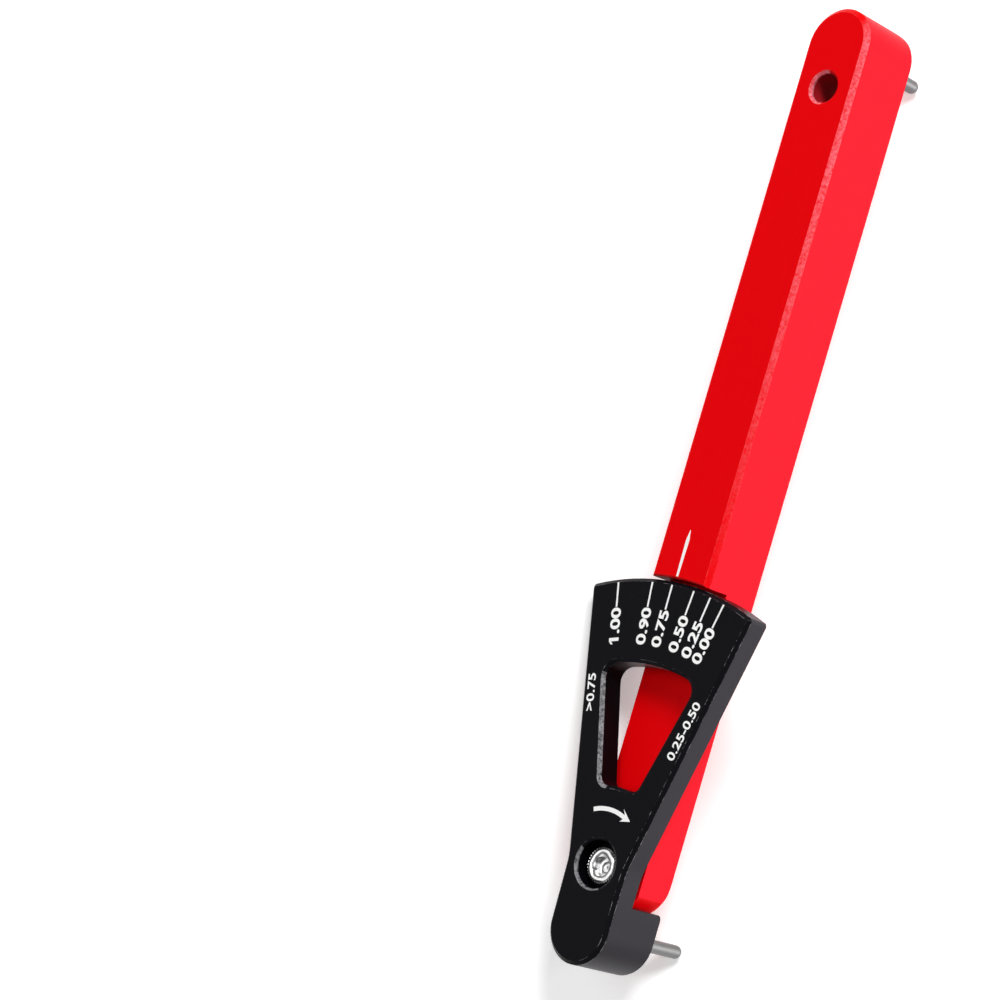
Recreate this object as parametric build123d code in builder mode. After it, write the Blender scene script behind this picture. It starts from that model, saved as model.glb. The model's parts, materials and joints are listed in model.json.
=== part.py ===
from build123d import *
from math import asin, atan2, cos, degrees, hypot, radians, sin, sqrt
import os

# Chain wear gauge: a square bar with a fixed pin, and a dial lever with a measuring pin.
# Sizes are in millimetres. The gauge is drawn on its own face: x runs across the bar,
# y up the bar from the pivot, and z out of the face that carries the scale.

# What the gauge measures: ten pitches of bicycle chain, between two rollers
chain_pitch = 12.7
pitches = 10
roller_diameter = 7.75
shown_wear = 0.75 / 100

# Pins
pin_radius = 0.9
pin_reach = 7.9
pin_seat = 7.0
pin_seat_radius = 1.25
pin_shoulder = 0.15
pin_chamfer = 0.25
measuring_pin_radius = 8.78
measuring_pin_angle = 17.56

# Bar
bar_width = 9.8
bar_depth = 10.0
bar_front_chamfer = 0.65
bar_back_chamfer = 0.12
bar_end_radius = 5.5
top_back_radius = 2.1
low_back_radius = 1.2
recess_radius = 37.95
recess_depth = 4.2
recess_chamfer = 0.2
hanging_hole_radius = 2.0
hanging_hole_drop = 5.9
hanging_hole_chamfer = 0.35

# Dial lever; its turn is how far it stands back from the bar's own line at this wear
lever_turn = 0.8
dial_radius = 37.5
dial_half_angle = 21.4
dial_corner_radius = 0.6
plate_thickness = 3.55
plate_chamfer = 0.5
waist_half_width = 5.03
waist_blend = 9.0
tail_drop = 8.3
tail_radius = 4.9
tail_pocket_radius = 6.3
tail_horn_radius = 0.8
tail_back_chamfer = 0.4
window_outer_radius = 26.85
window_inner_radius = 9.75
window_half_angle = 17.5
window_side_shift = 0.35
window_top_corner = 2.4
window_low_corner = 1.8
window_chamfer = 0.45

# Pivot
screw_radius = 1.25
screw_tip = 9.0
screw_tip_chamfer = 0.3
head_radius = 2.25
head_height = 2.5
head_chamfer = 0.2
socket_across_flats = 2.0
socket_depth = 1.2
socket_lead = 0.25
counterbore_radius = 3.2
counterbore_depth = 2.55
counterbore_chamfer = 0.3
pivot_hole_radius = 1.28
thread_hole_depth = 9.3
washer_inner_radius = 1.45
washer_outer_radius = 2.9
washer_thickness = 0.3
washer_gap = 0.05

# The fixed pin stands where the two pins span ten worn pitches, less a roller and a pin
half_width = bar_width / 2
pin_span = pitches * chain_pitch * (1 + shown_wear) - roller_diameter - 2 * pin_radius
pin_angle = radians(measuring_pin_angle)
measuring_x = measuring_pin_radius * sin(pin_angle)
measuring_y = -measuring_pin_radius * cos(pin_angle)
fixed_y = measuring_y + sqrt(pin_span**2 - measuring_x**2)
hole_y = fixed_y - hanging_hole_drop
crease_y = -sqrt(bar_end_radius**2 - half_width**2)

# Dial corners, each a small arc about a point inside it, in the lever's own axes
dial_angle = radians(dial_half_angle)
dial_x = dial_radius * sin(dial_angle)
dial_y = dial_radius * cos(dial_angle)
flank_angle = atan2(dial_x - waist_half_width, dial_y)
corner_circle = dial_radius - dial_corner_radius
flank_distance = waist_half_width * cos(flank_angle) - dial_corner_radius
corner_angle = flank_angle + asin(flank_distance / corner_circle)
turn = radians(lever_turn)
left_x = -corner_circle * sin(corner_angle + turn)
left_y = corner_circle * cos(corner_angle + turn)

# It lies on the round tips of both pins and the left back corner of the dial.
# The floor is level with both tips, and turns about them until it meets that corner.
tip_depth = bar_depth + pin_reach - pin_radius
fixed_tip = Vector(0, fixed_y, -tip_depth)
measuring_tip = Vector(measuring_x, measuring_y, -tip_depth)
along = (fixed_tip - measuring_tip).normalized()
up = Vector(1, 0, 1)
for settling in range(12):
    reach = Vector(up.X, up.Y, 0).normalized() * dial_corner_radius
    rest_corner = Vector(left_x, left_y, -plate_thickness) - reach
    to_corner = rest_corner - fixed_tip
    rise = to_corner - along * to_corner.dot(along)
    lean = pin_radius / rise.length
    up = along.cross(rise.normalized()) * sqrt(1 - lean**2) - rise.normalized() * lean
across = up.cross(along)

# The origin is under the middle of the gauge, on the floor
top_reach = along.dot(Vector(0, fixed_y, 0)) + half_width
tail_center = Vector(tail_drop * sin(turn), -tail_drop * cos(turn))
low_reach = along.dot(tail_center) - tail_radius
right_reach = across.dot(fixed_tip) - pin_radius
left_corner = Vector(left_x, left_y, -plate_chamfer)
left_reach = across.dot(left_corner) + dial_corner_radius * hypot(across.X, across.Y)
pivot_place = Vector(
    -(top_reach + low_reach) / 2,
    -(right_reach + left_reach) / 2,
    -up.dot(rest_corner),
)
FACE = Plane(
    origin=pivot_place,
    x_dir=Vector(along.X, across.X, up.X),
    z_dir=Vector(along.Z, across.Z, up.Z),
)
LEVER = Plane(
    origin=pivot_place,
    x_dir=FACE.x_dir * cos(turn) + FACE.y_dir * sin(turn),
    z_dir=FACE.z_dir,
)
SIDE = Plane(origin=pivot_place, x_dir=FACE.y_dir, z_dir=FACE.x_dir)
SECTION = Plane(origin=pivot_place, x_dir=FACE.x_dir, z_dir=-FACE.y_dir)
OUT = Axis(FACE.origin, FACE.z_dir)
UP_BAR = Axis(FACE.origin, FACE.y_dir)


def arcs_of(builder, radius):
    """Round edges of one radius, the deepest first."""
    edges = builder.edges().filter_by(GeomType.CIRCLE)
    return edges.filter_by(lambda edge: abs(edge.radius - radius) < 0.001).sort_by(OUT)


# Front view of the bar: round top, straight sides and an end that is round about the pivot
with BuildLine() as bar_outline:
    Line((half_width, crease_y), (half_width, fixed_y))
    ThreePointArc((half_width, fixed_y), (0, fixed_y + half_width), (-half_width, fixed_y))
    Line((-half_width, fixed_y), (-half_width, crease_y))
    ThreePointArc((-half_width, crease_y), (0, -bar_end_radius), (half_width, crease_y))

# Front view of the lever: dial, waist and round tail
with BuildLine() as lever_outline:
    ThreePointArc((-dial_x, dial_y), (0, dial_radius), (dial_x, dial_y))
    Polyline((dial_x, dial_y), (waist_half_width, 0), (tail_radius, -tail_drop))
    ThreePointArc(
        (tail_radius, -tail_drop),
        (0, -tail_drop - tail_radius),
        (-tail_radius, -tail_drop),
    )
    Polyline((-tail_radius, -tail_drop), (-waist_half_width, 0), (-dial_x, dial_y))

# Window: two arcs about the pivot, joined by sides that run beside two lines from it
window_angle = radians(window_half_angle)
window_outer = window_outer_radius - window_chamfer
window_inner = window_inner_radius + window_chamfer
side_inset = window_chamfer - window_side_shift
outer_turn = window_angle - asin(side_inset / window_outer)
inner_turn = window_angle - asin(side_inset / window_inner)
with BuildSketch() as window:
    with BuildLine():
        outer_x = window_outer * sin(outer_turn)
        outer_y = window_outer * cos(outer_turn)
        inner_x = window_inner * sin(inner_turn)
        inner_y = window_inner * cos(inner_turn)
        ThreePointArc((-outer_x, outer_y), (0, window_outer), (outer_x, outer_y))
        Line((outer_x, outer_y), (inner_x, inner_y))
        ThreePointArc((inner_x, inner_y), (0, window_inner), (-inner_x, inner_y))
        Line((-inner_x, inner_y), (-outer_x, outer_y))
    make_face()
    low_corners = window.vertices().sort_by(Axis.Y)[:2]
    fillet(low_corners, radius=window_low_corner - window_chamfer)
    top_corners = window.vertices().filter_by(lambda v: abs(v.X) > outer_x - 0.01)
    fillet(top_corners, radius=window_top_corner - window_chamfer)

# Half section of a pin: a seat with a chamfered end, a low shoulder and a round tip
with BuildLine() as pin_section:
    seat_end = -bar_depth + pin_seat
    shoulder_end = -bar_depth - pin_shoulder
    tip_end = -bar_depth - pin_reach
    tip_middle = pin_radius * cos(radians(45))
    Polyline(
        (0, tip_end),
        (0, seat_end),
        (pin_seat_radius - pin_chamfer, seat_end),
        (pin_seat_radius, seat_end - pin_chamfer),
        (pin_seat_radius, shoulder_end),
        (pin_radius, shoulder_end),
        (pin_radius, -tip_depth),
    )
    ThreePointArc((pin_radius, -tip_depth), (tip_middle, -tip_depth - tip_middle), (0, tip_end))

# Side view of what is milled off the back of the bar's round top
with BuildLine() as top_corner:
    top_end = fixed_y + half_width
    top_middle = top_back_radius * (1 - cos(radians(45)))
    ThreePointArc(
        (top_end, top_back_radius - bar_depth),
        (top_end - top_middle, top_middle - bar_depth),
        (top_end - top_back_radius, -bar_depth),
    )
    Polyline(
        (top_end - top_back_radius, -bar_depth),
        (top_end - top_back_radius, -bar_depth - 1),
        (top_end + 1, -bar_depth - 1),
        (top_end + 1, top_back_radius - bar_depth),
        (top_end, top_back_radius - bar_depth),
    )

# Bar: square section with a round top, a round end about the pivot and a recess for the dial
with BuildPart() as bar:
    with BuildSketch(FACE):
        make_face(bar_outline.edges())
    extrude(amount=-bar_depth)
    front_edges = bar.faces().sort_by(OUT)[-1].edges().sort_by(UP_BAR)
    chamfer(front_edges[1:], length=bar_front_chamfer)
    fillet(bar.faces().sort_by(OUT)[0].edges().sort_by(UP_BAR)[0], radius=low_back_radius)
    back_edges = bar.faces().sort_by(OUT)[0].edges().sort_by(UP_BAR)
    chamfer(back_edges[1:], length=bar_back_chamfer)
    with BuildSketch(SIDE):
        make_face(top_corner.edges())
    extrude(amount=bar_width, both=True, mode=Mode.SUBTRACT)
    with BuildSketch(FACE):
        Circle(recess_radius)
    extrude(amount=-recess_depth, mode=Mode.SUBTRACT)
    chamfer(arcs_of(bar, recess_radius)[-1], length=recess_chamfer)
    with BuildSketch(FACE):
        with Locations((0, hole_y)):
            Circle(hanging_hole_radius)
    extrude(amount=2 * bar_depth, both=True, mode=Mode.SUBTRACT)
    hole_rims = arcs_of(bar, hanging_hole_radius)
    chamfer([hole_rims[0], hole_rims[-1]], length=hanging_hole_chamfer)
    with BuildSketch(FACE.offset(-bar_depth)):
        with Locations((0, fixed_y)):
            Circle(pin_seat_radius)
    extrude(amount=pin_seat, mode=Mode.SUBTRACT)
    with BuildSketch(FACE):
        Circle(screw_radius)
    extrude(amount=-thread_hole_depth, mode=Mode.SUBTRACT)

# Dial lever: one piece, a thin dial above the pivot and a full-depth tail below it
with BuildPart() as dial_lever:
    with BuildSketch(LEVER) as outline:
        make_face(lever_outline.edges())
        corners = outline.vertices().sort_by(Axis.Y)
        fillet(corners[-2:], radius=dial_corner_radius)
        waist = outline.vertices().filter_by(lambda v: abs(v.Y) < 0.01)
        fillet(waist, radius=waist_blend)
        add(window.sketch, mode=Mode.SUBTRACT)
        Circle(pivot_hole_radius, mode=Mode.SUBTRACT)
    extrude(amount=-bar_depth)
    with BuildSketch(LEVER.offset(-plate_thickness)):
        with Locations((0, dial_radius)):
            Rectangle(2 * dial_radius, 2 * dial_radius)
        Circle(tail_pocket_radius)
    extrude(amount=-bar_depth, mode=Mode.SUBTRACT)
    with BuildSketch(FACE.offset(-counterbore_depth)):
        Circle(counterbore_radius)
    extrude(amount=bar_depth, mode=Mode.SUBTRACT)
    with BuildSketch(FACE.offset(-bar_depth + pin_seat)):
        with Locations((measuring_x, measuring_y)):
            Circle(pin_seat_radius)
    extrude(amount=-bar_depth, mode=Mode.SUBTRACT)
    front = dial_lever.faces().sort_by(OUT)[-1]
    chamfer(front.outer_wire().edges(), length=plate_chamfer)
    front_rims = dial_lever.faces().sort_by(OUT)[-1].inner_wires().sort_by(SortBy.LENGTH)
    chamfer(front_rims[-1].edges(), length=window_chamfer)
    chamfer(arcs_of(dial_lever, counterbore_radius)[-1], length=counterbore_chamfer)
    fillet(arcs_of(dial_lever, tail_pocket_radius)[0], radius=tail_horn_radius)
    tail_edges = dial_lever.faces().sort_by(OUT)[0].outer_wire().edges().sort_by(UP_BAR)
    chamfer(tail_edges[:3], length=tail_back_chamfer)

# Pivot screw: socket head sunk in the lever, plain shank turned into the bar
with BuildPart() as pivot_screw:
    with BuildSketch(SECTION):
        with BuildLine():
            Polyline(
                (0, 0),
                (head_radius - head_chamfer, 0),
                (head_radius, -head_chamfer),
                (head_radius, -head_height),
                (screw_radius, -head_height),
                (screw_radius, -screw_tip + screw_tip_chamfer),
                (screw_radius - screw_tip_chamfer, -screw_tip),
                (0, -screw_tip),
                close=True,
            )
        make_face()
    revolve(axis=OUT, revolution_arc=360)
    with BuildSketch(FACE):
        RegularPolygon(socket_across_flats / 2, 6, major_radius=False)
    extrude(amount=-socket_depth, mode=Mode.SUBTRACT)
    with BuildSketch(FACE):
        Circle(socket_across_flats / 2 + socket_lead)
    extrude(amount=-2 * socket_lead, taper=45, mode=Mode.SUBTRACT)

# Spring washer: a shallow cone that keeps the lever stiff to turn
with BuildPart() as spring_washer:
    with BuildSketch(SECTION):
        with BuildLine():
            washer_top = -plate_thickness - washer_gap
            Polyline(
                (washer_inner_radius, washer_top),
                (washer_outer_radius, -recess_depth + washer_thickness),
                (washer_outer_radius, -recess_depth),
                (washer_inner_radius, washer_top - washer_thickness),
                close=True,
            )
        make_face()
    revolve(axis=OUT, revolution_arc=360)


# Fixed pin, pressed into the back of the bar
fixed_place = FACE.from_local_coords((0, fixed_y, 0))
with BuildPart() as fixed_pin:
    with BuildSketch(Plane(origin=fixed_place, x_dir=SECTION.x_dir, z_dir=SECTION.z_dir)):
        make_face(pin_section.edges())
    revolve(axis=Axis(fixed_place, FACE.z_dir), revolution_arc=360)

# Measuring pin, pressed into the back of the tail
measuring_place = FACE.from_local_coords((measuring_x, measuring_y, 0))
with BuildPart() as measuring_pin:
    with BuildSketch(Plane(origin=measuring_place, x_dir=SECTION.x_dir, z_dir=SECTION.z_dir)):
        make_face(pin_section.edges())
    revolve(axis=Axis(measuring_place, FACE.z_dir), revolution_arc=360)

pieces = {
    "bar": bar,
    "dial_lever": dial_lever,
    "pivot_screw": pivot_screw,
    "spring_washer": spring_washer,
    "fixed_pin": fixed_pin,
    "measuring_pin": measuring_pin,
}
os.makedirs("parts", exist_ok=True)
for name, piece in pieces.items():
    piece.part.label = name
    export_step(piece.part, f"parts/{name}.step")
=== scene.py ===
import json
from math import cos, pi, radians, sin

import bmesh
import bpy
from mathutils import Matrix, Vector


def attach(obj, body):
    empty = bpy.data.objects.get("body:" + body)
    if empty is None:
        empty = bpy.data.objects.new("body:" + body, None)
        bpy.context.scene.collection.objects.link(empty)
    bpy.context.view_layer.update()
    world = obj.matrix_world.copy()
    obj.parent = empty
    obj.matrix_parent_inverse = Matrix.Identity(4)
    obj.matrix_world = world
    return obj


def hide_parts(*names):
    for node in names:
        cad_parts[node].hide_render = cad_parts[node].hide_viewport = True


bl_info = {
    "name": "Chain Wear Gauge",
    "version": (1, 0, 0),
    "blender": (4, 5, 0),
    "location": "View3D > Sidebar > Gauge",
    "description": "Finishes, printed scale and studio of a chain wear gauge",
    "category": "Object",
}

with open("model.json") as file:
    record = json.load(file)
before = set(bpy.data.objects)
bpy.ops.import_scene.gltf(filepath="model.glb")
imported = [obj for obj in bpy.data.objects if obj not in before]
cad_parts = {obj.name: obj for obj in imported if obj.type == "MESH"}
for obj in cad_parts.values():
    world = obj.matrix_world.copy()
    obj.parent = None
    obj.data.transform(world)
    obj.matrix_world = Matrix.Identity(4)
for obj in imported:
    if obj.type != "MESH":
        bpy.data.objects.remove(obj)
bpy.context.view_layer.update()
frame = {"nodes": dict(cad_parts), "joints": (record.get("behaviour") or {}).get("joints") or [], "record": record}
MM = 0.001

# The gauge's own axes: across the bar, up the bar from the pivot, and out of the face
PLATE = 3.55 * MM
mounts = {mount["name"]: Vector(mount["pos_m"]) for mount in frame["record"]["mounts"]}
pivot = frame["joints"][0]
OUT = Vector(pivot["axis"])
ORIGIN = Vector(pivot["pos_m"]) + OUT * PLATE / 2
to_pin = mounts["fixed_pin"] - ORIGIN
UP_BAR = (to_pin - OUT * to_pin.dot(OUT)).normalized()
ACROSS = UP_BAR.cross(OUT)
TURN = Matrix((ACROSS, UP_BAR, OUT)).transposed()
FACE = Matrix.Translation(ORIGIN) @ TURN.to_4x4()
HANGING_HOLE = to_pin.dot(UP_BAR) - 5.9 * MM

# Where the bar's colour changes, all painted light and shade: paler lit walls, glints on the right bevel and the
# hole's rim, shade in the bore
BAR_SIDE = 4.85 * MM
RECESS_REACH = 38.2 * MM
BEVEL_INNER, BEVEL_OUTER = 2.9 * MM, 4.6 * MM
BEVEL_BRIGHT, BEVEL_PLAIN = 40 * MM, 95 * MM
BORE_REACH, HOLE_RIM_REACH = 2.05 * MM, 2.42 * MM
LIT_WALL_RED = (0.82, 0.007, 0.019)
BEVEL_GLINT_RED = (0.9, 0.19, 0.23)
BORE_SHADE_RED = (0.4, 0.012, 0.02)
HOLE_RIM_GLINT_RED = (0.92, 0.26, 0.31)

# Where the lever's colour changes, with worn rims and painted light (lighter lit flanks, a reflection on the
# window's top wall, a lighter foot, glints in the window and the counterbore); its sides lean out by FLANK_LEAN
# from FLANK_WAIST
FLANK_LEAN, FLANK_WAIST = 0.24, 3.3 * MM
WINDOW_TOP, WINDOW_TOP_BAND = 26.5 * MM, 0.7 * MM
WINDOW_LEAN = 0.359
WINDOW_LOW, WINDOW_HIGH = 8 * MM, 24 * MM
FOOT_START, FOOT_END = -10.5 * MM, -13.6 * MM
COUNTERBORE_REACH = 3.55 * MM
LIT_FLANK_GREY = (0.037, 0.0335, 0.04)
WINDOW_TOP_REFLECTION_GREY = (0.3, 0.3, 0.31)
LIT_FOOT_GREY = (0.07, 0.065, 0.072)
RIM_GREY = (0.27, 0.27, 0.28)
WINDOW_GLINT = (0.36, 0.36, 0.38)
COUNTERBORE_GLINT = (0.3, 0.3, 0.32)
GROOVE_GREY = (0.07, 0.07, 0.07)

# The camera in the gauge's own axes, as fitted to the photograph
CAMERA_SPOT = Vector((271.02, 13.03, 313.42)) * MM
CAMERA_RIGHT = Vector((0.65865, 0.28590, -0.69602))
CAMERA_UP = Vector((-0.16807, 0.95753, 0.23427))
CAMERA_BACK = Vector((0.73344, -0.03732, 0.67873))
CAMERA_SHIFT = (0.1864, 0.0474)

# The floor is lifted to white for what is seen directly, and more so far out
FLOOR_REACH = 3
FLOOR_LIFT, FAR_LIFT = 0.34, 0.66
FAR_START, FAR_END = 0.2, 1.2


class GaugePrint(bpy.types.PropertyGroup):
    """Sizes and colour of the printed scale."""

    ink: bpy.props.FloatVectorProperty(
        name="Ink", description="Colour of the white print", subtype="COLOR",
        size=3, default=(0.97, 0.97, 0.96), min=0, max=1,
    )
    ink_depth: bpy.props.FloatProperty(
        name="Ink depth", description="How far the print stands off the metal",
        default=0.015 * MM, unit="LENGTH",
    )
    tick_radius: bpy.props.FloatProperty(
        name="Tick radius", description="Distance of the ticks' outer ends from the pivot",
        default=37.0 * MM, unit="LENGTH",
    )
    tick_length: bpy.props.FloatProperty(
        name="Tick length", description="Length of one tick", default=3.3 * MM, unit="LENGTH",
    )
    tick_width: bpy.props.FloatProperty(
        name="Tick width", description="Width of one tick", default=0.27 * MM, unit="LENGTH",
    )
    figure_height: bpy.props.FloatProperty(
        name="Figure height", description="Height of the figures at the ticks",
        default=1.62 * MM, unit="LENGTH",
    )
    figure_run: bpy.props.FloatProperty(
        name="Figure run", description="Length of a three-figure number at a tick",
        default=4.9 * MM, unit="LENGTH",
    )
    side_height: bpy.props.FloatProperty(
        name="Side figure height", description="Height of the figures beside the window",
        default=1.3 * MM, unit="LENGTH",
    )
    pointer_length: bpy.props.FloatProperty(
        name="Pointer length", description="Length of the pointer line on the bar",
        default=6.2 * MM, unit="LENGTH",
    )
    pointer_width: bpy.props.FloatProperty(
        name="Pointer width", description="Greatest width of the pointer line", default=0.54 * MM,
        unit="LENGTH",
    )


class GaugeFinish(bpy.types.PropertyGroup):
    """Colours of the metal."""

    bar: bpy.props.FloatVectorProperty(
        name="Bar", description="Red dye of the bar", subtype="COLOR",
        size=3, default=(0.82, 0.0003, 0.0025), min=0, max=1,
    )
    lever: bpy.props.FloatVectorProperty(
        name="Lever", description="Black dye of the lever", subtype="COLOR",
        size=3, default=(0.0026, 0.0026, 0.004), min=0, max=1,
    )
    steel: bpy.props.FloatVectorProperty(
        name="Steel", description="Colour of the pins", subtype="COLOR",
        size=3, default=(0.163, 0.163, 0.163), min=0, max=1,
    )
    stainless: bpy.props.FloatVectorProperty(
        name="Stainless", description="Colour of the pivot screw", subtype="COLOR",
        size=3, default=(0.85, 0.85, 0.85), min=0, max=1,
    )


class GaugeStudio(bpy.types.PropertyGroup):
    """Light and floor."""

    floor: bpy.props.FloatVectorProperty(
        name="Floor", description="Colour of the floor", subtype="COLOR",
        size=3, default=(0.9, 0.9, 0.9), min=0, max=1,
    )
    side_power: bpy.props.FloatProperty(
        name="Side", description="Power of the low soft light beside the gauge", default=16.0,
        subtype="POWER",
    )
    face_power: bpy.props.FloatProperty(
        name="Face", description="Power of the soft light that faces the scale", default=9.0,
        subtype="POWER",
    )
    end_power: bpy.props.FloatProperty(
        name="End", description="Power of the soft light past the round end", default=15.0,
        subtype="POWER",
    )
    surround: bpy.props.FloatProperty(
        name="Surround", description="Strength of the even light all round", default=0.06,
    )
    lens: bpy.props.FloatProperty(
        name="Lens", description="Focal length in millimetres", default=115.93,
    )


# Shader node groups


def add_socket(tree, name, kind, way, default=None):
    """Adds one named input or output to a node group."""
    socket = tree.interface.new_socket(name=name, in_out=way, socket_type=kind)
    if default is not None:
        socket.default_value = default
    return socket


def place(tree, kind, **values):
    """Adds a node and sets its options; a key that names an input sets that input."""
    node = tree.nodes.new(kind)
    for key, value in values.items():
        if hasattr(node, key):
            setattr(node, key, value)
        else:
            node.inputs[key.replace("_", " ")].default_value = value
    return node


def maths(tree, operation, *values):
    """Adds a Math node fed with numbers or outputs, and returns its output."""
    node = place(tree, "ShaderNodeMath", operation=operation)
    for slot, value in enumerate(values):
        if isinstance(value, (int, float)):
            node.inputs[slot].default_value = value
        else:
            tree.links.new(value, node.inputs[slot])
    return node.outputs[0]


def both(tree, *masks):
    """One where every mask is one."""
    product = masks[0]
    for mask in masks[1:]:
        product = maths(tree, "MULTIPLY", product, mask)
    return product


def over(tree, value, limit):
    """One where a value is greater than a limit."""
    return maths(tree, "GREATER_THAN", value, limit)


def under(tree, value, limit):
    """One where a value is less than a limit."""
    return maths(tree, "LESS_THAN", value, limit)


def ramp(tree, value, start, end, low=0.0, high=1.0):
    """Goes evenly from low to high as a value goes from start to end."""
    node = place(tree, "ShaderNodeMapRange", From_Min=start, From_Max=end, To_Min=low, To_Max=high)
    tree.links.new(value, node.inputs["Value"])
    return node.outputs["Result"]


def group_of_grain():
    """Fine blasted grain: a height for bump, and a value that spreads roughness and tint."""
    tree = bpy.data.node_groups.new("Blasted grain", "ShaderNodeTree")
    add_socket(tree, "Vector", "NodeSocketVector", "INPUT")
    add_socket(tree, "Grain per metre", "NodeSocketFloat", "INPUT", 9000)
    add_socket(tree, "Rough low", "NodeSocketFloat", "INPUT", 0.3)
    add_socket(tree, "Rough high", "NodeSocketFloat", "INPUT", 0.45)
    add_socket(tree, "Height", "NodeSocketFloat", "OUTPUT")
    add_socket(tree, "Roughness", "NodeSocketFloat", "OUTPUT")
    add_socket(tree, "Speck", "NodeSocketFloat", "OUTPUT")
    inside = place(tree, "NodeGroupInput")
    outside = place(tree, "NodeGroupOutput")
    fine = place(tree, "ShaderNodeTexNoise", Detail=3, Roughness=0.65)
    cloud = place(tree, "ShaderNodeTexNoise", Scale=160, Detail=4)
    blend = place(tree, "ShaderNodeMapRange")
    specks = place(tree, "ShaderNodeMapRange", From_Min=0.62, From_Max=0.72)
    mix = place(tree, "ShaderNodeMath", operation="MULTIPLY_ADD")
    mix.inputs[1].default_value = 0.5
    links = tree.links
    links.new(inside.outputs["Vector"], fine.inputs["Vector"])
    links.new(inside.outputs["Grain per metre"], fine.inputs["Scale"])
    links.new(inside.outputs["Vector"], cloud.inputs["Vector"])
    links.new(fine.outputs["Fac"], mix.inputs[0])
    half = place(tree, "ShaderNodeMath", operation="MULTIPLY")
    half.inputs[1].default_value = 0.5
    links.new(cloud.outputs["Fac"], half.inputs[0])
    links.new(half.outputs[0], mix.inputs[2])
    links.new(mix.outputs[0], blend.inputs["Value"])
    links.new(inside.outputs["Rough low"], blend.inputs["To Min"])
    links.new(inside.outputs["Rough high"], blend.inputs["To Max"])
    links.new(blend.outputs["Result"], outside.inputs["Roughness"])
    links.new(fine.outputs["Fac"], outside.inputs["Height"])
    links.new(fine.outputs["Fac"], specks.inputs["Value"])
    links.new(specks.outputs["Result"], outside.inputs["Speck"])
    return tree


def group_of_edges():
    """Worn edges and glint specks: broken wear lines at both rims of a chamfer, specks on it for painted glints,
    and the wall under it.
    """
    tree = bpy.data.node_groups.new("Rubbed edges and glints", "ShaderNodeTree")
    add_socket(tree, "Vector", "NodeSocketVector", "INPUT")
    add_socket(tree, "Chamfer", "NodeSocketFloat", "INPUT", 0.5 * MM)
    add_socket(tree, "Line", "NodeSocketFloat", "INPUT", 0.06 * MM)
    add_socket(tree, "Breaks", "NodeSocketFloat", "INPUT", 0.5)
    add_socket(tree, "Mask", "NodeSocketFloat", "OUTPUT")
    add_socket(tree, "Sparks", "NodeSocketFloat", "OUTPUT")
    add_socket(tree, "Wall", "NodeSocketFloat", "OUTPUT")
    inside = place(tree, "NodeGroupInput")
    outside = place(tree, "NodeGroupOutput")
    links = tree.links
    apart = place(tree, "ShaderNodeSeparateXYZ")
    links.new(inside.outputs["Vector"], apart.inputs[0])
    depth = maths(tree, "MULTIPLY", apart.outputs["Z"], -1)
    line = inside.outputs["Line"]
    chamfer = inside.outputs["Chamfer"]
    below = maths(tree, "GREATER_THAN", depth, 0.012 * MM)
    near_top = maths(tree, "MULTIPLY", maths(tree, "LESS_THAN", depth, line), below)
    low_gap = maths(tree, "ABSOLUTE", maths(tree, "SUBTRACT", depth, chamfer))
    near_low = maths(tree, "LESS_THAN", low_gap, maths(tree, "MULTIPLY", line, 0.5))
    lines = maths(tree, "MAXIMUM", near_top, near_low)
    breaks = place(tree, "ShaderNodeTexNoise", Scale=700, Detail=6, Roughness=0.75)
    links.new(inside.outputs["Vector"], breaks.inputs["Vector"])
    kept = place(tree, "ShaderNodeMapRange", From_Max=0.6)
    links.new(inside.outputs["Breaks"], kept.inputs["From Min"])
    links.new(breaks.outputs["Fac"], kept.inputs["Value"])
    links.new(maths(tree, "MULTIPLY", lines, kept.outputs["Result"]), outside.inputs["Mask"])
    # Specks on the chamfer band, used by the finishes only as painted glints.
    band = maths(tree, "MULTIPLY", maths(tree, "LESS_THAN", depth, chamfer), below)
    sparks = place(tree, "ShaderNodeTexNoise", Scale=2300, Detail=5, Roughness=0.7)
    links.new(inside.outputs["Vector"], sparks.inputs["Vector"])
    bright = place(tree, "ShaderNodeMapRange", From_Min=0.34, From_Max=0.62)
    links.new(sparks.outputs["Fac"], bright.inputs["Value"])
    links.new(maths(tree, "MULTIPLY", band, bright.outputs["Result"]), outside.inputs["Sparks"])
    links.new(maths(tree, "GREATER_THAN", depth, chamfer), outside.inputs["Wall"])
    return tree


def new_material(name):
    """A node material with its shader, and the gauge's own axes as a texture space."""
    material = bpy.data.materials.new(name)
    material.use_nodes = True
    tree = material.node_tree
    shader = tree.nodes["Principled BSDF"]
    where = tree.nodes.new("ShaderNodeTexCoord")
    turned = tree.nodes.new("ShaderNodeMapping")
    turned.vector_type = "TEXTURE"
    turned.inputs["Location"].default_value = ORIGIN
    turned.inputs["Rotation"].default_value = TURN.to_euler()
    tree.links.new(where.outputs["Object"], turned.inputs["Vector"])
    return material, tree, shader, turned.outputs["Vector"]


def use_group(tree, group, space, **values):
    """Places a shader node group, fed with a texture space and its own values."""
    node = tree.nodes.new("ShaderNodeGroup")
    node.node_tree = group
    tree.links.new(space, node.inputs["Vector"])
    for key, value in values.items():
        node.inputs[key.replace("_", " ")].default_value = value
    return node


def bump_from(tree, shader, height, distance, strength=1.0):
    """Feeds a height into the shader's normal."""
    bump = tree.nodes.new("ShaderNodeBump")
    bump.inputs["Distance"].default_value = distance
    bump.inputs["Strength"].default_value = strength
    tree.links.new(height, bump.inputs["Height"])
    tree.links.new(bump.outputs["Normal"], shader.inputs["Normal"])


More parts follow.
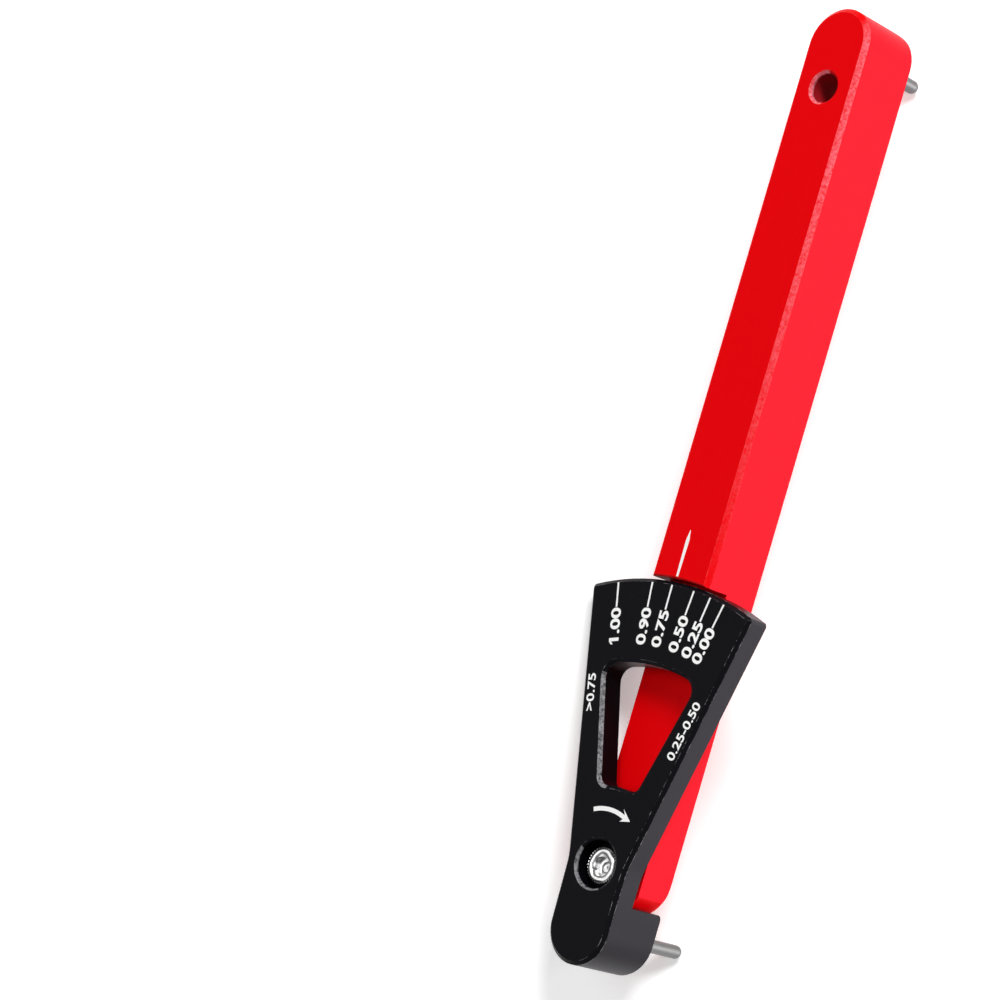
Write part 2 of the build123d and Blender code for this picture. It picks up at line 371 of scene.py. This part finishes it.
def tint(tree, ground, mask, colour):
    """Lays a colour over another one, or over an output, where the mask is high."""
    mix = tree.nodes.new("ShaderNodeMix")
    mix.data_type = "RGBA"
    if isinstance(ground, tuple):
        mix.inputs["A"].default_value = (*ground, 1)
    else:
        tree.links.new(ground, mix.inputs["A"])
    mix.inputs["B"].default_value = (*colour, 1)
    tree.links.new(mask, mix.inputs["Factor"])
    return mix.outputs["Result"]


def axes_of(tree, space):
    """The three coordinates of a texture space: across, up the bar, out of the face."""
    apart = place(tree, "ShaderNodeSeparateXYZ")
    tree.links.new(space, apart.inputs[0])
    return apart.outputs


def distance(tree, first, second):
    """How far a place is from an axis, from its two coordinates."""
    squares = maths(tree, "MULTIPLY", second, second)
    return maths(tree, "SQRT", maths(tree, "MULTIPLY_ADD", first, first, squares))


def finish_of_bar(settings, grain, edges):
    """Red anodised aluminium: satin grain and rubbed edges, with painted light: paler lit walls, a glinting right
    bevel, shade in the bore and a glint on the hole's rim.
    """
    material, tree, shader, space = new_material("Red anodised")
    skin = use_group(tree, grain, space, Grain_per_metre=9000, Rough_low=0.3, Rough_high=0.46)
    wear_and_glints = use_group(tree, edges, space, Chamfer=0.65 * MM, Line=0.07 * MM, Breaks=0.45)
    across, up, out = axes_of(tree, space)
    pale = tuple(0.85 * part + 0.06 for part in settings.bar)
    # Painted light: the bar's outer walls are tinted paler pink, as sides that catch the light.
    side = over(tree, maths(tree, "ABSOLUTE", across), BAR_SIDE)
    past_recess = over(tree, distance(tree, across, up), RECESS_REACH)
    side = both(tree, maths(tree, "MAXIMUM", side, past_recess), wear_and_glints.outputs["Wall"])
    colour = tint(tree, tuple(settings.bar), side, LIT_WALL_RED)
    colour = tint(tree, colour, wear_and_glints.outputs["Mask"], pale)

    # Painted highlight: glinting specks on the right bevel only, fading out up the bar.
    right = ramp(tree, across, BEVEL_INNER, BEVEL_OUTER, high=0.9)
    fade = ramp(tree, up, BEVEL_BRIGHT, BEVEL_PLAIN, low=0.04)
    colour = tint(tree, colour, both(tree, wear_and_glints.outputs["Sparks"], right, fade), BEVEL_GLINT_RED)

    # Painted shade: the bore of the hanging hole is darkened.
    middle = maths(tree, "SUBTRACT", up, HANGING_HOLE)
    away = distance(tree, across, middle)
    bore = both(tree, under(tree, away, BORE_REACH), under(tree, out, -0.3 * MM))
    colour = tint(tree, colour, bore, BORE_SHADE_RED)
    # Painted highlight: glinting specks on one side of the hole's rim.
    mouth = both(tree, under(tree, away, HOLE_RIM_REACH), under(tree, across, 0.2 * MM))
    colour = tint(tree, colour, both(tree, mouth, wear_and_glints.outputs["Sparks"]), HOLE_RIM_GLINT_RED)
    tree.links.new(colour, shader.inputs["Base Color"])
    tree.links.new(skin.outputs["Roughness"], shader.inputs["Roughness"])
    bump_from(tree, shader, skin.outputs["Height"], 0.006 * MM, 0.6)
    shader.inputs["Specular IOR Level"].default_value = 0.03
    return material


def finish_of_lever(settings, grain, edges):
    """Black anodised aluminium: rubbed rims, with painted light: milled walls lighter as lit flanks, a reflection
    on the window's top wall, a lighter foot, and glints on the window's chamfer and the counterbore's rim.
    """
    material, tree, shader, space = new_material("Black anodised")
    skin = use_group(tree, grain, space, Grain_per_metre=7500, Rough_low=0.26, Rough_high=0.4)
    wear_and_glints = use_group(tree, edges, space, Chamfer=0.5 * MM, Line=0.05 * MM, Breaks=0.5)
    across, up, out = axes_of(tree, space)
    wall = wear_and_glints.outputs["Wall"]
    # Painted light: the flank walls are lighter, as lit sides, and less so towards the tail.
    side = maths(tree, "MULTIPLY_ADD", up, FLANK_LEAN, FLANK_WAIST)
    flank = both(tree, over(tree, maths(tree, "ABSOLUTE", across), side), wall)
    tail = ramp(tree, up, -6 * MM, 6 * MM, low=0.7)
    colour = tint(tree, tuple(settings.lever), both(tree, flank, tail), LIT_FLANK_GREY)

    # Painted reflection: a pale band on the window's top wall, stronger to the right.
    inward = under(tree, maths(tree, "ABSOLUTE", across), side)
    rightwards = ramp(tree, across, -7.5 * MM, 1.5 * MM)
    ring = maths(tree, "COMPARE", distance(tree, across, up), WINDOW_TOP, WINDOW_TOP_BAND)
    ring = both(tree, ring, over(tree, out, 0.06 * MM - PLATE))
    top_wall = both(tree, rightwards, inward, wall, ring)
    colour = tint(tree, colour, top_wall, WINDOW_TOP_REFLECTION_GREY)

    # Painted light: the walls at the foot of the tail are lighter towards its end.
    foot = both(tree, ramp(tree, up, FOOT_START, FOOT_END), wall)
    colour = tint(tree, colour, foot, LIT_FOOT_GREY)
    colour = tint(tree, colour, wear_and_glints.outputs["Mask"], RIM_GREY)

    # Painted highlight: glinting specks on the window's left chamfer.
    rim = maths(tree, "MULTIPLY_ADD", up, WINDOW_LEAN, across)
    window = both(
        tree, over(tree, rim, -0.5 * MM), under(tree, rim, 1.5 * MM),
        over(tree, up, WINDOW_LOW), under(tree, up, WINDOW_HIGH),
    )
    colour = tint(tree, colour, both(tree, window, wear_and_glints.outputs["Sparks"]), WINDOW_GLINT)

    # Painted highlight: glinting specks on the lower left of the counterbore's rim.
    round_screw = under(tree, distance(tree, across, up), COUNTERBORE_REACH)
    low_left = under(tree, maths(tree, "ADD", across, up), -1.4 * MM)
    glint = both(tree, round_screw, low_left, wear_and_glints.outputs["Sparks"])
    colour = tint(tree, colour, glint, COUNTERBORE_GLINT)
    tree.links.new(colour, shader.inputs["Base Color"])
    tree.links.new(skin.outputs["Roughness"], shader.inputs["Roughness"])
    bump_from(tree, shader, skin.outputs["Height"], 0.008 * MM, 0.6)
    shader.inputs["Specular IOR Level"].default_value = 0.05
    return material


def finish_of_steel(name, colour, grain, rough):
    """Bare steel with a fine ground grain."""
    material, tree, shader, space = new_material(name)
    skin = use_group(
        tree, grain, space, Grain_per_metre=6000, Rough_low=rough, Rough_high=rough + 0.14
    )
    shader.inputs["Base Color"].default_value = (*colour, 1)
    shader.inputs["Metallic"].default_value = 1.0
    tree.links.new(skin.outputs["Roughness"], shader.inputs["Roughness"])
    bump_from(tree, shader, skin.outputs["Height"], 0.003 * MM, 0.5)
    return material


def finish_of_screw(settings, grain):
    """Bright stainless steel, with the fine rings that turning leaves round the axis."""
    material, tree, shader, space = new_material("Stainless")
    skin = use_group(tree, grain, space, Grain_per_metre=5000, Rough_low=0.22, Rough_high=0.44)
    shader.inputs["Metallic"].default_value = 1.0
    tree.links.new(skin.outputs["Roughness"], shader.inputs["Roughness"])
    rings = place(
        tree, "ShaderNodeTexWave", wave_type="RINGS", rings_direction="Z", Scale=420, Distortion=4,
        Detail=2,
    )
    tree.links.new(space, rings.inputs["Vector"])
    grooves = ramp(tree, rings.outputs["Fac"], 0.45, 0.12, high=0.85)
    colour = tint(tree, tuple(settings.stainless), grooves, GROOVE_GREY)
    tree.links.new(colour, shader.inputs["Base Color"])
    bump_from(tree, shader, rings.outputs["Fac"], 0.11 * MM, 1.0)
    return material


def finish_of_ink(settings, grain):
    """Matt white print with a slight grain."""
    material, tree, shader, space = new_material("White print")
    skin = use_group(tree, grain, space, Grain_per_metre=12000, Rough_low=0.5, Rough_high=0.7)
    shade = tuple(0.93 * part for part in settings.ink)
    colour = tint(tree, tuple(settings.ink), skin.outputs["Speck"], shade)
    tree.links.new(colour, shader.inputs["Base Color"])
    tree.links.new(skin.outputs["Roughness"], shader.inputs["Roughness"])
    return material


def dress(node, material):
    """Gives a CAD node its finish."""
    data = frame["nodes"][node].data
    data.materials.clear()
    data.materials.append(material)


def shared_group(name, make):
    """A shader node group, built the first time that it is asked for."""
    return bpy.data.node_groups.get(name) or make()


def grain_group():
    return shared_group("Blasted grain", group_of_grain)


def edge_group():
    return shared_group("Rubbed edges and glints", group_of_edges)


def ink_material(context):
    """The print's material, built the first time that it is asked for."""
    made = bpy.data.materials.get("White print")
    return made or finish_of_ink(context.scene.gauge_print, grain_group())


# Print


def ride_piece(obj, body, material):
    """Puts a finished mesh on a body with its material."""
    obj.data.materials.clear()
    obj.data.materials.append(material)
    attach(obj, body)


def mesh_object(name, data):
    """Links a mesh to the scene as an object at the origin."""
    obj = bpy.data.objects.new(name, data)
    bpy.context.scene.collection.objects.link(obj)
    return obj


def plain_mesh(obj, name):
    """The evaluated object as a mesh of its own."""
    bpy.context.view_layer.update()
    seen = obj.evaluated_get(bpy.context.evaluated_depsgraph_get())
    data = bpy.data.meshes.new_from_object(seen)
    data.name = name
    return data


def lettering(name, body, height, run, depth, place_on_face, weight=0.0):
    """A number as a thin mesh, of a given height and length, set on the face by a matrix."""
    curve = bpy.data.curves.new(name, "FONT")
    curve.body = body
    curve.resolution_u = 6
    curve.offset = weight
    curve.extrude = 0.5
    curve.size = 1.0
    text = bpy.data.objects.new(name, curve)
    bpy.context.scene.collection.objects.link(text)
    data = plain_mesh(text, name)
    bpy.data.objects.remove(text)
    low = [min(v.co[i] for v in data.vertices) for i in range(3)]
    high = [max(v.co[i] for v in data.vertices) for i in range(3)]
    size = [b - a for a, b in zip(low, high)]
    fit = Matrix.Diagonal((run / size[0], height / size[1], 2 * depth / size[2], 1))
    centre = Matrix.Translation([-(a + b) / 2 for a, b in zip(low, high)])
    data.transform(FACE @ place_on_face @ fit @ centre)
    tidy = bmesh.new()
    tidy.from_mesh(data)
    bmesh.ops.remove_doubles(tidy, verts=tidy.verts, dist=1e-7)
    bmesh.ops.recalc_face_normals(tidy, faces=tidy.faces)
    tidy.to_mesh(data)
    tidy.free()
    return mesh_object(name, data)


def flat_shape(name, outline, depth):
    """A thin closed plate from an outline on the face, in metres."""
    shape = bmesh.new()
    low = [shape.verts.new((x, y, -depth)) for x, y in outline]
    top = [shape.verts.new((x, y, depth)) for x, y in outline]
    shape.faces.new(top)
    shape.faces.new(list(reversed(low)))
    count = len(outline)
    for i in range(count):
        j = (i + 1) % count
        shape.faces.new((low[i], low[j], top[j], top[i]))
    bmesh.ops.recalc_face_normals(shape, faces=shape.faces)
    data = bpy.data.meshes.new(name)
    shape.to_mesh(data)
    shape.free()
    data.transform(FACE)
    return mesh_object(name, data)


def on_ray(angle, radius, turned=0.0):
    """A place on the dial, at an angle from the bar's axis, with its own turn."""
    spin = Matrix.Rotation(-angle, 4, "Z")
    return spin @ Matrix.Translation((0, radius, 0)) @ Matrix.Rotation(turned, 4, "Z")


# The numbers on the dial, and their angles from the bar's axis in degrees
SCALE = (
    ("1.00", -15.2), ("0.90", -6.35), ("0.75", -1.17),
    ("0.50", 4.7), ("0.25", 9.25), ("0.00", 13.1),
)


def bars_tree():
    """Geometry nodes that set one small bar on each point, turned by the point's own angle."""
    tree = bpy.data.node_groups.new("Small bars", "GeometryNodeTree")
    add_socket(tree, "Geometry", "NodeSocketGeometry", "INPUT")
    add_socket(tree, "Width", "NodeSocketFloat", "INPUT", 0.0003)
    add_socket(tree, "Length", "NodeSocketFloat", "INPUT", 0.003)
    add_socket(tree, "Depth", "NodeSocketFloat", "INPUT", 0.00002)
    add_socket(tree, "Finish", "NodeSocketMaterial", "INPUT")
    add_socket(tree, "Geometry", "NodeSocketGeometry", "OUTPUT")
    inside = place(tree, "NodeGroupInput")
    outside = place(tree, "NodeGroupOutput")
    size = place(tree, "ShaderNodeCombineXYZ")
    bar = place(tree, "GeometryNodeMeshCube")
    turn = place(tree, "GeometryNodeInputNamedAttribute", data_type="FLOAT")
    turn.inputs["Name"].default_value = "turn"
    euler = place(tree, "ShaderNodeCombineXYZ")
    put = place(tree, "GeometryNodeInstanceOnPoints")
    real = place(tree, "GeometryNodeRealizeInstances")
    paint = place(tree, "GeometryNodeSetMaterial")
    links = tree.links
    links.new(inside.outputs["Width"], size.inputs["X"])
    links.new(inside.outputs["Length"], size.inputs["Y"])
    links.new(inside.outputs["Depth"], size.inputs["Z"])
    links.new(size.outputs[0], bar.inputs["Size"])
    links.new(turn.outputs["Attribute"], euler.inputs["Z"])
    links.new(inside.outputs["Geometry"], put.inputs["Points"])
    links.new(bar.outputs["Mesh"], put.inputs["Instance"])
    links.new(euler.outputs[0], put.inputs["Rotation"])
    links.new(put.outputs["Instances"], real.inputs["Geometry"])
    links.new(real.outputs["Geometry"], paint.inputs["Geometry"])
    links.new(inside.outputs["Finish"], paint.inputs["Material"])
    links.new(paint.outputs["Geometry"], outside.inputs["Geometry"])
    return tree


def run_tree(obj, tree, name, **values):
    """Runs a geometry node tree on an object and returns the result as a plain mesh."""
    modifier = obj.modifiers.new(tree.name, "NODES")
    modifier.node_group = tree
    for item in tree.interface.items_tree:
        key = item.name.replace(" ", "_")
        if item.in_out == "INPUT" and key in values:
            modifier[item.identifier] = values[key]
    data = plain_mesh(obj, name)
    obj.modifiers.remove(modifier)
    return data


def bars_round(name, angles, radius, height, **values):
    """Small bars set round the pivot's axis at the given angles, as one plain mesh."""
    points = bpy.data.meshes.new(name + "_points")
    points.from_pydata([(radius * sin(a), radius * cos(a), height) for a in angles], [], [])
    turns = points.attributes.new("turn", "FLOAT", "POINT")
    turns.data.foreach_set("value", [-a for a in angles])
    seed = mesh_object(name + "_points", points)
    tree = bpy.data.node_groups.get("Small bars") or bars_tree()
    data = run_tree(seed, tree, name, **values)
    bpy.data.objects.remove(seed)
    data.transform(FACE)
    return data


def screw_mesh():
    """A socket screw as one closed skin: sunk head, hexagonal socket, plain shank."""
    count = 48
    turns = [2 * pi * i / count for i in range(count)]
    flats = 1.2 * MM

    def circle(radius, height):
        return [(radius * MM * cos(a), radius * MM * sin(a), height * MM) for a in turns]

    def hexagon(height, wider=1.0):
        reach = [wider * flats / cos((a + pi / 6) % (pi / 3) - pi / 6) for a in turns]
        return [(r * cos(a), r * sin(a), height * MM) for r, a in zip(reach, turns)]

    rings = [
        circle(0.95, -9.0), circle(1.25, -8.7), circle(1.25, -2.52), circle(2.2, -2.5),
        circle(2.25, -1.46), circle(2.14, -1.28), circle(1.95, -1.2), circle(1.62, -1.2),
        hexagon(-1.3, 1.12), hexagon(-1.42), hexagon(-2.25), circle(0.5, -2.4),
    ]
    shape = bmesh.new()
    loops = [[shape.verts.new(point) for point in ring] for ring in rings]
    for low, high in zip(loops, loops[1:]):
        for i in range(count):
            j = (i + 1) % count
            shape.faces.new((low[i], low[j], high[j], high[i]))
    shape.faces.new(list(reversed(loops[0])))
    shape.faces.new(loops[-1])
    bmesh.ops.recalc_face_normals(shape, faces=shape.faces)
    data = bpy.data.meshes.new("socket_screw")
    shape.to_mesh(data)
    shape.free()
    data.transform(FACE)
    return data


class GAUGE_OT_bar(bpy.types.Operator):
    """Gives the bar its red anodised finish"""

    bl_idname = "gauge.bar"
    bl_label = "Bar"

    def execute(self, context):
        finish = context.scene.gauge_finish
        dress("bar", finish_of_bar(finish, grain_group(), edge_group()))
        return {"FINISHED"}


class GAUGE_OT_lever(bpy.types.Operator):
    """Gives the dial lever its black anodised finish"""

    bl_idname = "gauge.lever"
    bl_label = "Dial lever"

    def execute(self, context):
        finish = context.scene.gauge_finish
        dress("dial_lever", finish_of_lever(finish, grain_group(), edge_group()))
        return {"FINISHED"}


class GAUGE_OT_steel(bpy.types.Operator):
    """Gives the pins and the spring washer their steel"""

    bl_idname = "gauge.steel"
    bl_label = "Steel pieces"

    def execute(self, context):
        finish = context.scene.gauge_finish
        ground = finish_of_steel("Ground steel", finish.steel, grain_group(), 0.3)
        for node in ("fixed_pin", "measuring_pin", "spring_washer"):
            dress(node, ground)
        return {"FINISHED"}


class GAUGE_OT_screw(bpy.types.Operator):
    """Builds the knurled socket screw at the pivot"""

    bl_idname = "gauge.screw"
    bl_label = "Pivot screw"

    def execute(self, context):
        finish = finish_of_screw(context.scene.gauge_finish, grain_group())
        screw = mesh_object("socket_screw", screw_mesh())
        ride_piece(screw, "bar", finish)
        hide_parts("pivot_screw")
        count = 36
        data = bars_round(
            "screw_knurl", [2 * pi * i / count for i in range(count)], 2.24 * MM, -1.92 * MM,
            Width=0.17 * MM, Length=0.22 * MM, Depth=1.1 * MM, Finish=finish,
        )
        ride_piece(mesh_object("screw_knurl", data), "bar", finish)
        return {"FINISHED"}


class GAUGE_OT_scale(bpy.types.Operator):
    """Prints the ticks and their numbers on the dial"""

    bl_idname = "gauge.scale"
    bl_label = "Scale"

    def execute(self, context):
        size = context.scene.gauge_print
        ink = ink_material(context)
        middle = size.tick_radius - size.tick_length / 2
        data = bars_round(
            "scale_ticks", [radians(angle) for number, angle in SCALE], middle, 0,
            Width=size.tick_width, Length=size.tick_length, Depth=2 * size.ink_depth, Finish=ink,
        )
        ride_piece(mesh_object("scale_ticks", data), "dial", ink)
        inner = size.tick_radius - size.tick_length - 0.1 * MM
        for number, angle in SCALE:
            flag = 0.42 * MM if number[0] == "1" else 0
            run = size.figure_run - flag
            spot = on_ray(radians(angle), inner - run / 2, pi / 2)
            name = "figure_" + number.replace(".", "_")
            label = lettering(name, number, size.figure_height, run, size.ink_depth, spot, 0.03)
            ride_piece(label, "dial", ink)
            if flag:
                top, start = size.figure_height / 2, -run / 2 + 0.02 * MM
                outline = [
                    (start, top), (start - flag, top - 0.34 * MM),
                    (start - flag, top - 0.66 * MM), (start, top - 0.36 * MM),
                ]
                outline = [tuple((spot @ Vector((x, y, 0)))[:2]) for x, y in outline]
                stroke = flat_shape("figure_flag", outline, size.ink_depth)
                ride_piece(stroke, "dial", ink)
        return {"FINISHED"}


class GAUGE_OT_side_figures(bpy.types.Operator):
    """Prints the plain numbers beside the window"""

    bl_idname = "gauge.side_figures"
    bl_label = "Side figures"

    def execute(self, context):
        size = context.scene.gauge_print
        ink = ink_material(context)
        for name, number, run, spot, lean in (
            ("figure_left", ">0.75", 5.0 * MM, (-8.95 * MM, 20.96 * MM, 0), 14.7),
            ("figure_right", "0.25-0.50", 8.1 * MM, (7.91 * MM, 19.29 * MM, 0), -13.4),
        ):
            turned = Matrix.Rotation(pi / 2 + radians(lean), 4, "Z")
            put = Matrix.Translation(spot) @ turned
            label = lettering(name, number, size.side_height, run, size.ink_depth, put, 0.02)
            ride_piece(label, "dial", ink)
        return {"FINISHED"}


class GAUGE_OT_arrow(bpy.types.Operator):
    """Prints the curved arrow over the pivot"""

    bl_idname = "gauge.arrow"
    bl_label = "Turning arrow"

    def execute(self, context):
        size = context.scene.gauge_print
        radius = 7.15 * MM
        half = 0.29 * MM
        steps = 16
        start, end = radians(-23), radians(20)
        turns = [start + (end - start) * i / steps for i in range(steps + 1)]
        outer = [((radius + half) * sin(a), (radius + half) * cos(a)) for a in turns]
        inner = [((radius - half) * sin(a), (radius - half) * cos(a)) for a in reversed(turns)]
        tip = (3.65 * MM, 6.4 * MM)
        barbs = [(2.05 * MM, 7.75 * MM), tip, (1.95 * MM, 6.05 * MM)]
        outline = outer + barbs + inner
        arrow = flat_shape("turning_arrow", outline, size.ink_depth)
        ride_piece(arrow, "dial", ink_material(context))
        return {"FINISHED"}


class GAUGE_OT_pointer(bpy.types.Operator):
    """Prints the pointer line on the bar"""

    bl_idname = "gauge.pointer"
    bl_label = "Pointer line"

    def execute(self, context):
        size = context.scene.gauge_print
        low = RECESS_REACH
        high = low + size.pointer_length
        half = size.pointer_width / 2
        middle = -0.37 * MM
        shoulder = high - 1.3 * MM
        blade = [(0.65 * half, low), (half, shoulder), (0.12 * half, high)]
        outline = [(middle + x, y) for x, y in blade]
        outline += [(middle - x, y) for x, y in reversed(blade)]
        line = flat_shape("pointer_line", outline, size.ink_depth)
        ride_piece(line, "bar", ink_material(context))
        return {"FINISHED"}


def area_light(name, spot, target, size, power):
    """A soft square light aimed at a point."""
    data = bpy.data.lights.new(name, "AREA")
    data.shape = "RECTANGLE"
    data.size, data.size_y = size
    data.energy = power
    obj = bpy.data.objects.new(name, data)
    obj.location = spot
    obj.rotation_euler = (Vector(target) - Vector(spot)).to_track_quat("-Z", "Y").to_euler()
    bpy.context.scene.collection.objects.link(obj)
    return obj


def floor_material(settings):
    """Pale floor that the camera sees as white, with the gauge's shadow on it."""
    material = bpy.data.materials.new("Studio floor")
    material.use_nodes = True
    tree = material.node_tree
    shader = tree.nodes["Principled BSDF"]
    shader.inputs["Base Color"].default_value = (*settings.floor, 1)
    shader.inputs["Roughness"].default_value = 0.9
    shader.inputs["Specular IOR Level"].default_value = 0.0
    shader.inputs["Emission Color"].default_value = (1, 1, 1, 1)
    where = place(tree, "ShaderNodeTexCoord")
    away = place(tree, "ShaderNodeVectorMath", operation="LENGTH")
    tree.links.new(where.outputs["Object"], away.inputs[0])
    far = ramp(tree, away.outputs["Value"], FAR_START, FAR_END, high=FAR_LIFT)
    lift = maths(tree, "ADD", far, FLOOR_LIFT)
    strength = maths(tree, "MULTIPLY", lift, seen_directly(tree))
    tree.links.new(strength, shader.inputs["Emission Strength"])
    return material


def seen_directly(tree):
    """One for what the camera sees, itself or mirrored, and zero for what only lights."""
    path = place(tree, "ShaderNodeLightPath")
    glossy, through = path.outputs["Is Glossy Ray"], path.outputs["Is Transmission Ray"]
    mirrored = maths(tree, "MAXIMUM", glossy, through)
    return maths(tree, "MAXIMUM", path.outputs["Is Camera Ray"], mirrored)


def studio_world(strength):
    """An even weak light all round, which the camera sees as white."""
    world = bpy.data.worlds.new("Studio surround")
    world.use_nodes = True
    tree = world.node_tree
    background = tree.nodes["Background"]
    background.inputs["Color"].default_value = (1, 1, 1, 1)
    level = ramp(tree, seen_directly(tree), 0.0, 1.0, low=strength)
    tree.links.new(level, background.inputs["Strength"])
    return world


class GAUGE_OT_stage(bpy.types.Operator):
    """Sets the floor, the lights and the camera"""

    bl_idname = "gauge.stage"
    bl_label = "Stage"

    def execute(self, context):
        studio = context.scene.gauge_studio
        scene = context.scene
        ground = bpy.data.meshes.new("floor")
        turns = ((-1, -1), (1, -1), (1, 1), (-1, 1))
        corners = [(x * FLOOR_REACH, y * FLOOR_REACH, 0) for x, y in turns]
        ground.from_pydata(corners, [], [(0, 1, 2, 3)])
        floor = mesh_object("floor", ground)
        ground.materials.append(floor_material(studio))
        aim = (0, 0, 0.01)
        area_light("side", (0.05, -1.2, 0.32), aim, (1.0, 0.6), studio.side_power)
        area_light("face", (0, 1.1, 1.2), aim, (1.0, 0.8), studio.face_power)
        area_light("end", (0.9, 0, 1.1), aim, (0.45, 0.45), studio.end_power)
        scene.world = studio_world(studio.surround)
        data = bpy.data.cameras.new("camera")
        data.sensor_width = 36
        data.lens = studio.lens
        data.shift_x, data.shift_y = CAMERA_SHIFT
        data.clip_start = 0.01
        camera = bpy.data.objects.new("camera", data)
        sides = [TURN @ side for side in (CAMERA_RIGHT, CAMERA_UP, CAMERA_BACK)]
        turned = Matrix(sides).transposed().to_4x4()
        camera.matrix_world = Matrix.Translation(FACE @ CAMERA_SPOT) @ turned
        scene.collection.objects.link(camera)
        scene.camera = camera
        scene.view_settings.view_transform = "Standard"
        return {"FINISHED"}


class GAUGE_PT_panel(bpy.types.Panel):
    """Lists the gauge's pieces and settings"""

    bl_idname = "GAUGE_PT_panel"
    bl_label = "Chain Wear Gauge"
    bl_space_type = "VIEW_3D"
    bl_region_type = "UI"
    bl_category = "Gauge"

    def draw(self, context):
        layout = self.layout
        for operator in PIECES:
            layout.operator(operator.bl_idname)
        scene = context.scene
        for settings in (scene.gauge_finish, scene.gauge_print, scene.gauge_studio):
            box = layout.box()
            for name in settings.__annotations__:
                box.prop(settings, name)


PIECES = (
    GAUGE_OT_stage, GAUGE_OT_bar, GAUGE_OT_lever, GAUGE_OT_steel, GAUGE_OT_screw, GAUGE_OT_scale,
    GAUGE_OT_side_figures, GAUGE_OT_arrow, GAUGE_OT_pointer,
)
CLASSES = (GaugePrint, GaugeFinish, GaugeStudio, *PIECES, GAUGE_PT_panel)


def register():
    for cls in CLASSES:
        bpy.utils.register_class(cls)
    bpy.types.Scene.gauge_print = bpy.props.PointerProperty(type=GaugePrint)
    bpy.types.Scene.gauge_finish = bpy.props.PointerProperty(type=GaugeFinish)
    bpy.types.Scene.gauge_studio = bpy.props.PointerProperty(type=GaugeStudio)


def unregister():
    del bpy.types.Scene.gauge_print
    del bpy.types.Scene.gauge_finish
    del bpy.types.Scene.gauge_studio
    for cls in reversed(CLASSES):
        bpy.utils.unregister_class(cls)


def main():
    register()
    bpy.ops.gauge.stage()
    bpy.ops.gauge.bar()
    bpy.ops.gauge.lever()
    bpy.ops.gauge.steel()
    bpy.ops.gauge.screw()
    bpy.ops.gauge.scale()
    bpy.ops.gauge.side_figures()
    bpy.ops.gauge.arrow()
    bpy.ops.gauge.pointer()


if __name__ == "__main__":
    main()
